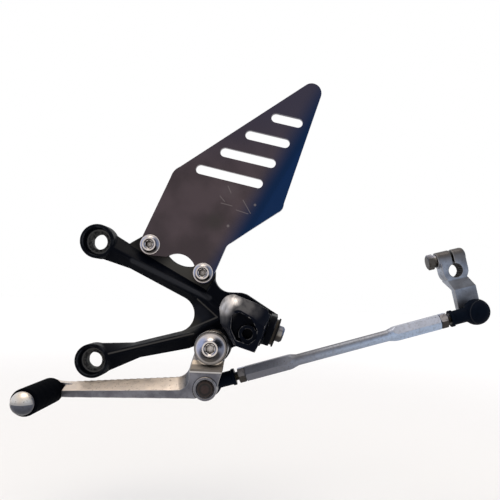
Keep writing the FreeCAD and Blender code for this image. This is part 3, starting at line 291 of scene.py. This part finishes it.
def lug_wear(paint, base):
    """Flaked seats in the frame lugs, each with a bright ring from its bolt."""
    seats = paint.highest(*(paint.near(lug, 8.0, 8.6) for lug in LUGS))
    flakes = paint.span(paint.noise(2.2 * MM, 5), 0.40, 0.60, 0.25, 1.0)
    base = paint.cover(base, colour(0.060, 0.058, 0.055), seats, flakes)
    rings = paint.highest(*(paint.ring(lug, 7.4, 8.4, 0.5) for lug in LUGS))
    return paint.cover(base, colour(0.110, 0.108, 0.105), rings, 0.7)


def knuckle_paint():
    """Black paint, worn to bare metal on the hood's upper half."""
    paint = Paint("knuckle_paint", Specular_IOR_Level=0.035)
    base = paint.mix(paint.noise(8 * MM, 4), colour(0.0008, 0.0016, 0.0046), colour(0.0028, 0.0042, 0.0090))
    patches = paint.span(paint.noise(4 * MM, 6), 0.42, 0.60)
    smears = paint.span(paint.noise(5 * MM, 4, (1.0, 1.0, 0.4)), 0.30, 0.60, 0.35, 1.0)
    crown = paint.highest(*(paint.near(spot, 2.0, 9.0) for spot in HOOD_WEAR))
    upper = paint.span(paint.along(UP), -6 * MM, 0.5 * MM, 0.12)
    bare = paint.highest(
        paint.product(paint.convex_edges(0.52, 0.57), patches, 0.7),
        paint.product(crown, smears, upper),
        paint.product(paint.near(HOOD_RUB, 4.0, 14.0), paint.facing(UP, 0.1, 0.5), smears, 0.14),
        paint.near(HOOD_CHIP, 0.6, 1.6),
    )
    paint.set(
        Base_Color=paint.mix(bare, base, colour(0.58, 0.55, 0.535)),
        Metallic=paint.product(bare, 0.8),
        Roughness=paint.span(paint.noise(4 * MM, 5), 0.3, 0.7, 0.32, 0.48),
    )
    paint.bump(paint.noise(0.9 * MM, 4), 0.012 * MM)
    return paint.material


def guard_coat():
    """Dark brown sheet, bluer to its tip, with a painted blue reflection along the bent margin."""
    paint = Paint("guard_coat", Metallic=1.0)
    cloud = paint.noise(45 * MM, 3)
    grain = paint.noise(1.0 * MM, 4, (1.0, 1.0, 0.15))
    smoke = paint.span(paint.noise(28 * MM, 4), 0.35, 0.65)
    base = paint.mix(smoke, colour(0.061, 0.049, 0.053), colour(0.090, 0.070, 0.077))
    base = paint.cover(base, colour(0.052, 0.048, 0.072), paint.span(paint.along(UP), 85 * MM, 150 * MM))
    base = paint.cover(base, colour(0.058, 0.050, 0.050), paint.near(GUARD_SMUDGE, 1.0, 10.0))
    # Painted blue reflection along the bent margin.
    margin_reflection = paint.span(paint.along(GUARD_ACROSS), (GUARD_BEND - 15.0) * MM, (GUARD_BEND + 1.0) * MM)
    base = paint.cover(base, colour(0.008, 0.024, 0.072), margin_reflection)
    base = paint.cover(base, colour(0.17, 0.14, 0.15), paint.near(GUARD_RUB, 1.0, 10.0), 0.25)
    scratches = paint.highest(*(paint.scratch(*line, 0.35) for line in GUARD_SCRATCHES))
    chips = paint.highest(*(paint.near(chip, 0.5, reach) for chip, reach in GUARD_CHIPS))
    paint.set(
        Base_Color=paint.cover(base, colour(0.27, 0.245, 0.24), paint.highest(scratches, chips), 0.55),
        Roughness=paint.span(cloud, 0.3, 0.7, 0.22, 0.28),
    )
    paint.bump(grain, 0.003 * MM, 0.3 * MM)
    return paint.material


def cast_alloy():
    """Gear lever and shift arm: grey castings, with a painted warm highlight on the upper faces of the
    lever's arm.
    """
    paint = Paint("cast_alloy", Specular_IOR_Level=0.1)
    pits = paint.span(paint.noise(1.3 * MM, 6), 0.60, 0.68)
    stains = paint.span(paint.noise(7 * MM, 6), 0.30, 0.70)
    base = paint.mix(stains, colour(0.115, 0.115, 0.132), colour(0.190, 0.190, 0.212))
    # Painted warm highlight on the upward faces of the lever's arm.
    top_highlight = paint.mix(stains, colour(0.66, 0.575, 0.50), colour(0.56, 0.495, 0.445))
    base = paint.cover(base, top_highlight, paint.near(LEVER_ARM, 70.0, 76.0), paint.facing(UP, 0.4, 0.9))
    arm = paint.near(SHIFT_ARM, 26.0, 32.0)
    dome = paint.near(TOE_DOME, 8.0, 9.0)
    # Painted shade in the splined bore: dark, and below also made matte and not metallic.
    bore_shade = bore_wall(paint)
    base = toe_dome_painted_light(paint, shift_arm_tone(paint, base, arm, stains), dome)
    # Paler convex edges: wear, and a painted highlight along the edges.
    base = paint.cover(base, colour(0.38, 0.37, 0.365), paint.convex_edges(0.51, 0.55), 0.75)
    # Pits, and dirt settled on the shift arm's upper faces, are dirt; the darker underside, the hollows and
    # the splined bore are painted shade.
    dirt_and_shade = paint.highest(
        paint.product(pits, 0.5),
        paint.product(paint.facing(DOWN, 0.1, 0.8), 0.35),
        paint.product(paint.hollows(4.0), 0.8),
        paint.product(arm, paint.facing(UP, -0.1, 0.6, 0.1, 0.65)),
        bore_shade,
    )
    base = lever_bands_and_painted_light(paint, paint.mix(dirt_and_shade, base, DIRT_AND_SHADE))
    parting = paint.product(paint.band(DOWN, TOE_PARTING, 0.4), dome, 0.8)
    paint.set(
        Base_Color=paint.mix(parting, base, colour(0.42, 0.41, 0.40)),
        Metallic=paint.math("SUBTRACT", 1.0, bore_shade),
        Roughness=paint.highest(paint.span(paint.noise(3 * MM, 5), 0.3, 0.7, 0.32, 0.46), bore_shade),
    )
    paint.bump(paint.noise(0.8 * MM, 5), 0.02 * MM, 0.3 * MM)
    return paint.material


def shift_arm_tone(paint, base, arm, stains):
    """Cool grey, browner on the clamp end and around the boot."""
    base = paint.mix(arm, base, paint.mix(stains, colour(0.170, 0.190, 0.235), colour(0.285, 0.320, 0.390)))
    clamp = paint.span(paint.along(UP), 36 * MM, 44 * MM)
    base = paint.cover(base, colour(0.105, 0.090, 0.078), arm, clamp, 0.65)
    return paint.cover(base, colour(0.070, 0.064, 0.060), paint.near(SHIFT_LUG, 8.0, 17.0), 0.6)


def toe_dome_painted_light(paint, base, dome):
    """Painted highlight above the parting line on the toe peg's end, painted dark blue reflection below."""
    # Painted highlight on the upward faces of the upper half.
    base = paint.cover(base, colour(0.74, 0.68, 0.60), dome, paint.facing(UP, -0.1, 0.4), 0.85)
    # Painted dark blue reflection below the parting line.
    lower = paint.span(paint.along(DOWN), (TOE_PARTING - 0.1) * MM, (TOE_PARTING + 0.3) * MM)
    return paint.cover(base, colour(0.035, 0.045, 0.070), dome, lower, 0.55)


def lever_bands_and_painted_light(paint, base):
    """Brownish band on the slope below the pivot; painted highlights along the slope's top, on the ledge and
    on the web's edge; painted shade as a dark line around the rivet's boss.
    """
    slope = paint.near(LEVER_SLOPE, 13.0, 15.0)
    base = paint.cover(base, colour(0.17, 0.145, 0.115), slope, paint.band(UP, SLOPE_MIDDLE, 4.0), 0.7)
    # Painted highlight along the top of the slope.
    base = paint.cover(base, colour(0.70, 0.59, 0.47), slope, paint.band(UP, SLOPE_TOP, 1.8), 0.8)
    # Painted highlights on the ledge and on the web's edge.
    ledge_highlight = paint.product(slope, paint.band(UP, SLOPE_LEDGE, 0.6))
    edge = paint.product(paint.near(WEB_EDGE, 6.0, 7.5), paint.band(WEB_ACROSS, WEB_SIDE, 0.7))
    base = paint.cover(base, colour(0.66, 0.64, 0.62), paint.highest(ledge_highlight, edge), 0.75)
    # Painted shade: a dark line at the edge of the rivet's spot face.
    return paint.cover(base, DIRT_AND_SHADE, paint.ring(RIVET, 7.9, 8.5, 0.5), 0.8)


def bore_wall(paint):
    """1 in the grooves of the shift arm's splined bore, a little less between them."""
    offset = paint.vector("SUBTRACT", paint.place, millimetres(SHAFT_BORE), "Vector")
    flat = paint.vector("MULTIPLY", offset, (1.0, 0.0, 1.0), "Vector")
    radius = paint.add("ShaderNodeVectorMath", {0: flat}, operation="LENGTH").outputs["Value"]
    inside = paint.span(radius, 5.5 * MM, 5.2 * MM)
    parts = paint.add("ShaderNodeSeparateXYZ", {0: flat}).outputs
    turn = paint.math("ARCTAN2", parts["Z"], parts["X"])
    teeth = paint.math("SINE", paint.product(turn, SHAFT_SPLINES))
    return paint.product(inside, paint.span(teeth, -0.6, 0.4, 0.8, 1.0))


def turned_steel(name, light, dark, rough, grime, thread_pitch=0.0):
    """Stained steel, with painted blue reflections to both sides, painted shade below, in sockets and hollows
    and over the pinch bolt's head, a darker rim on the pivot head and a darker pin washer.
    """
    paint = Paint(name, Metallic=1.0)
    base = paint.cover(light, dark, paint.span(paint.noise(2.5 * MM, 6), 0.48, 0.66), grime)
    # Painted blue reflections on faces turned rearward and forward.
    base = paint.cover(base, colour(0.07, 0.10, 0.18), paint.facing(REARWARD, 0.02, 0.35), 0.8)
    base = paint.cover(base, colour(0.22, 0.27, 0.46), paint.facing(FORWARD, 0.05, 0.4), 0.7)
    # Painted shade on downward faces.
    base = paint.cover(base, DIRT_AND_SHADE, paint.facing(DOWN, 0.02, 0.35), 0.9)
    # Darker rim on the pivot bolt's head, and a darker pin washer.
    base = paint.cover(base, DIRT_AND_SHADE, paint.ring(PIVOT_HEAD, 9.6, 13.0, 0.8), 0.75)
    base = paint.cover(base, DIRT_AND_SHADE, paint.band(PIN_AXIS, PIN_WASHER, 1.6))
    # Painted shade over the pinch bolt's head.
    base = paint.cover(base, DIRT_AND_SHADE, paint.near(PINCH_HEAD, 8.0, 10.0), 0.82)
    paint.set(
        # Painted shade in sockets and hollows.
        Base_Color=paint.cover(base, DIRT_AND_SHADE, paint.hollows(6.0, 0.70, 0.40)),
        Roughness=paint.span(paint.noise(1.5 * MM, 4), 0.3, 0.7, rough, rough + 0.12),
    )
    if thread_pitch:
        paint.bump(paint.ripple(ROD_AXIS, thread_pitch), 0.3 * MM)
    else:
        paint.bump(paint.noise(0.5 * MM, 3), 0.001 * MM, 0.2 * MM)
    return paint.material


def blackened_steel():
    paint = Paint("dark_steel", Specular_IOR_Level=0.05)
    cloud = paint.noise(2 * MM, 5)
    paint.set(
        Base_Color=paint.mix(cloud, colour(0.004, 0.004, 0.005), colour(0.009, 0.009, 0.009)),
        Roughness=paint.span(cloud, 0.3, 0.7, 0.42, 0.56),
    )
    paint.bump(cloud, 0.01 * MM, 0.2 * MM)
    return paint.material


def drawn_alloy():
    """Link rod: dull in front; paler and bluer to the rear and greyer on top there, as painted reflection;
    painted shade below and on the upper side of the waist.
    """
    paint = Paint("drawn_alloy", Metallic=1.0)
    cloud = paint.noise(9 * MM, 4)
    base = paint.mix(cloud, colour(0.175, 0.178, 0.205), colour(0.235, 0.240, 0.272))
    # Painted blue reflection towards the rear.
    rear_reflection = paint.span(paint.along(ROD_AXIS), 95 * MM, 215 * MM)
    base = paint.cover(base, paint.mix(cloud, colour(0.36, 0.45, 0.60), colour(0.45, 0.54, 0.70)), rear_reflection)
    # Painted grey reflection on the upper faces of the rear.
    top = paint.mix(cloud, colour(0.30, 0.31, 0.36), colour(0.42, 0.42, 0.47))
    base = paint.cover(base, top, rear_reflection, paint.facing(UP, 0.0, 0.6), 0.8)
    mottle = paint.span(paint.noise(1.8 * MM, 6), 0.48, 0.66)
    base = paint.cover(base, colour(0.16, 0.155, 0.155), mottle, 0.3)
    pits = paint.span(paint.noise(1.4 * MM, 5), 0.64, 0.74)
    # Pits are dirt; the darker underside and the darker upper side of the waist are painted shade.
    dirt_and_shade = paint.highest(
        paint.product(pits, 0.8),
        paint.product(paint.facing(DOWN, 0.0, 0.8), 0.2),
        paint.product(paint.near(ROD_WAIST, 32.0, 40.0), paint.facing(UP, -0.2, 0.6), 0.6),
    )
    dulled = paint.product(paint.near(ROD_FRONT, 20.0, 70.0), 0.2)
    paint.set(
        Base_Color=paint.mix(dirt_and_shade, base, DIRT_AND_SHADE),
        Roughness=paint.math("ADD", paint.span(cloud, 0.3, 0.7, 0.36, 0.46), dulled),
    )
    paint.bump(paint.noise(0.6 * MM, 4), 0.02 * MM, 0.25 * MM)
    return paint.material


def rust():
    """Riveted end, with a dark groove around its red middle."""
    paint = Paint("rusty_steel", Metallic=0.35)
    patches = paint.noise(1.6 * MM, 6)
    base = paint.mix(patches, colour(0.008, 0.005, 0.004), colour(0.052, 0.033, 0.026))
    base = paint.cover(base, colour(0.030, 0.015, 0.014), paint.near(RIVET, 2.6, 3.1), 0.7)
    paint.set(
        Base_Color=paint.cover(base, colour(0.004, 0.003, 0.003), paint.ring(RIVET, 2.6, 4.0, 0.5), 0.75),
        Roughness=paint.span(patches, 0.3, 0.7, 0.55, 0.8),
    )
    paint.bump(patches, 0.1 * MM, 0.2 * MM)
    return paint.material


def rubber():
    """Faintly ringed on the toe piece, smooth with a capped end on the boots."""
    paint = Paint("rubber", Specular_IOR_Level=0.012)
    dust = paint.noise(3 * MM, 5)
    base = paint.mix(dust, colour(0.0012, 0.0022, 0.0050), colour(0.0040, 0.0066, 0.0130))
    toe = paint.near(TOE_RUBBER, 30.0, 32.0)
    base = paint.cover(base, colour(0.0012, 0.0013, 0.0016), toe, 0.8)
    rings = paint.product(toe, paint.ripple(OUTBOARD, 7.0), 0.4)
    creases = paint.highest(*(
        paint.product(
            paint.near(cap, 11.0, 12.0),
            paint.band(BOOT_CAP_AXIS, Vector(cap).dot(Vector(BOOT_CAP_AXIS)) + 4.0, 0.5),
        )
        for cap in BOOT_CAPS
    ))
    paint.set(
        Base_Color=paint.mix(creases, base, colour(0.016, 0.018, 0.023)),
        Roughness=paint.highest(paint.span(dust, 0.3, 0.7, 0.42, 0.6), paint.product(toe, 0.85)),
    )
    paint.bump(paint.highest(rings, creases), 0.25 * MM)
    return paint.material


def moulded_plastic():
    paint = Paint("seat_plastic")
    cloud = paint.noise(2 * MM, 3)
    paint.set(
        Base_Color=paint.mix(cloud, colour(0.5, 0.49, 0.45), colour(0.6, 0.59, 0.54)),
        Roughness=paint.span(cloud, 0.3, 0.7, 0.4, 0.55),
    )
    return paint.material


# Turned metals: light and dark colour, roughness, share of grime, and a thread's pitch in millimetres

TURNED_METALS = {
    "bright_steel": (colour(0.64, 0.59, 0.555), colour(0.26, 0.235, 0.22), 0.26, 0.12),
    "dull_steel": (colour(0.27, 0.25, 0.225), colour(0.085, 0.07, 0.058), 0.34, 0.7),
    "plated_steel": (colour(0.11, 0.10, 0.065), colour(0.045, 0.038, 0.028), 0.4, 0.8, 1.0),
    "bronze": (colour(0.36, 0.24, 0.11), colour(0.15, 0.10, 0.05), 0.4, 0.8),
}
FINISHES = {
    "bracket_paint": bracket_paint(),
    "knuckle_paint": knuckle_paint(),
    "guard_coat": guard_coat(),
    "cast_alloy": cast_alloy(),
    "rod_alloy": drawn_alloy(),
    "dark_steel": blackened_steel(),
    "rusty_steel": rust(),
    "rubber": rubber(),
    "seat_plastic": moulded_plastic(),
}
for name, look in TURNED_METALS.items():
    FINISHES[name] = turned_steel(name, *look)
for entry in frame["record"]["subparts"]:
    piece = nodes[entry["node"]]
    piece.data.materials.clear()
    piece.data.materials.append(FINISHES[entry["material_slot"]])


# Cast pieces get the soft edges of a casting: a skin's grain in metres and how often it is smoothed

CAST_SKINS = {
    "bracket": (0.55 * MM, 4),
    "footpeg_knuckle": (0.35 * MM, 3),
    "gear_lever": (0.4 * MM, 3),
    "shift_arm": (0.35 * MM, 3),
}
for name, (grain_size, rounds) in CAST_SKINS.items():
    remesh = nodes[name].modifiers.new("cast_skin", "REMESH")
    remesh.mode = "VOXEL"
    remesh.voxel_size = grain_size
    remesh.use_smooth_shade = True
    soften = nodes[name].modifiers.new("cast_edges", "SMOOTH")
    soften.factor = 0.5
    soften.iterations = rounds


# Studio: the room's light by direction, each zone laid over those before it, and the lamp's place in metres

ROOM_FRONT = colour(0.80, 0.77, 0.77)
ROOM_ZONES = (
    ("Y", -0.80, -0.45, colour(0.72, 0.78, 0.88)),
    ("X", 0.15, 0.30, colour(0.85, 0.93, 1.04)),
    ("X", 0.45, 0.85, colour(0.68, 0.77, 0.92)),
    ("X", -0.30, -0.60, colour(0.90, 0.96, 1.08)),
    ("Z", 0.50, 0.85, colour(1.00, 0.93, 0.86)),
    ("Y", 0.62, 0.80, colour(1.00, 1.00, 1.00)),
)
LAMP_PLACE = (0.05, -0.02, 0.75)
LAMP_TARGET = (0.12, 0.0, 0.0)
LAMP_FOOT = (0.05, 0.0, 0.0)
FLOOR_DROP = 0.08
CAMERA_PLACE = (0.1218, -0.355, 0.0132)
CAMERA_ROLL = -2.6


def studio_world():
    """Even room: neutral in front, cooler to both sides, warmer above and white behind."""
    world = bpy.data.worlds.new("studio")
    world.use_nodes = True
    tree = world.node_tree
    direction = tree.nodes.new("ShaderNodeSeparateXYZ")
    tree.links.new(tree.nodes.new("ShaderNodeTexCoord").outputs["Generated"], direction.inputs[0])
    front = tree.nodes.new("ShaderNodeRGB")
    front.outputs[0].default_value = ROOM_FRONT
    light = front.outputs[0]
    for axis, low, high, tint in ROOM_ZONES:
        share = tree.nodes.new("ShaderNodeMapRange")
        share.interpolation_type = "SMOOTHSTEP"
        share.inputs["From Min"].default_value = low
        share.inputs["From Max"].default_value = high
        tree.links.new(direction.outputs[axis], share.inputs["Value"])
        mix = tree.nodes.new("ShaderNodeMix")
        mix.data_type = "RGBA"
        tree.links.new(share.outputs["Result"], mix.inputs[0])
        tree.links.new(light, mix.inputs[6])
        mix.inputs[7].default_value = tint
        light = mix.outputs[2]
    tree.links.new(light, tree.nodes["Background"].inputs["Color"])
    bpy.context.scene.world = world


def top_light():
    lamp = bpy.data.lights.new("top", "AREA")
    lamp.size = 0.5
    lamp.energy = 2.5
    lamp.color = (1.0, 0.93, 0.84)
    stand = bpy.data.objects.new("top", lamp)
    stand.location = LAMP_PLACE
    stand.rotation_euler = (Vector(LAMP_TARGET) - Vector(LAMP_PLACE)).to_track_quat("-Z", "Y").to_euler()
    bpy.context.collection.objects.link(stand)


def floor(height):
    """Pale floor, lifted to the white of the backdrop away from the lamp, so that the shadow stays."""
    paint = Paint("floor", Roughness=0.9, Emission_Color=colour(1.0, 1.0, 1.0))
    path = paint.add("ShaderNodeLightPath").outputs
    away = paint.vector("DISTANCE", paint.place, LAMP_FOOT)
    seen = paint.highest(path["Is Camera Ray"], path["Is Glossy Ray"], path["Is Transmission Ray"])
    paint.set(
        Base_Color=paint.mix(paint.noise(0.3, 2), colour(0.80, 0.80, 0.80), colour(0.82, 0.82, 0.82)),
        Emission_Strength=paint.product(seen, paint.span(away, 0.1, 1.3, 0.0, 0.26)),
    )
    bpy.ops.mesh.primitive_plane_add(size=8.0, location=(0, 0, height))
    plane = bpy.context.object
    plane.name = "floor"
    plane.data.materials.append(paint.material)


def camera():
    """A short lens close to the part; the shift puts the point square on to it low and right of centre."""
    lens = bpy.data.cameras.new("camera")
    lens.sensor_width = 36.0
    lens.lens = 35.5
    lens.shift_x = -0.04
    lens.shift_y = 0.08
    lens.clip_start = 0.01
    view = bpy.data.objects.new("camera", lens)
    roll = Matrix.Rotation(math.radians(CAMERA_ROLL), 4, "Y")
    upright = Matrix.Rotation(math.radians(90), 4, "X")
    view.matrix_world = Matrix.Translation(CAMERA_PLACE) @ roll @ upright
    bpy.context.collection.objects.link(view)
    bpy.context.scene.camera = view


studio_world()
top_light()
floor(cad_box[0].z - FLOOR_DROP)
camera()
bpy.context.scene.view_settings.view_transform = "Standard"
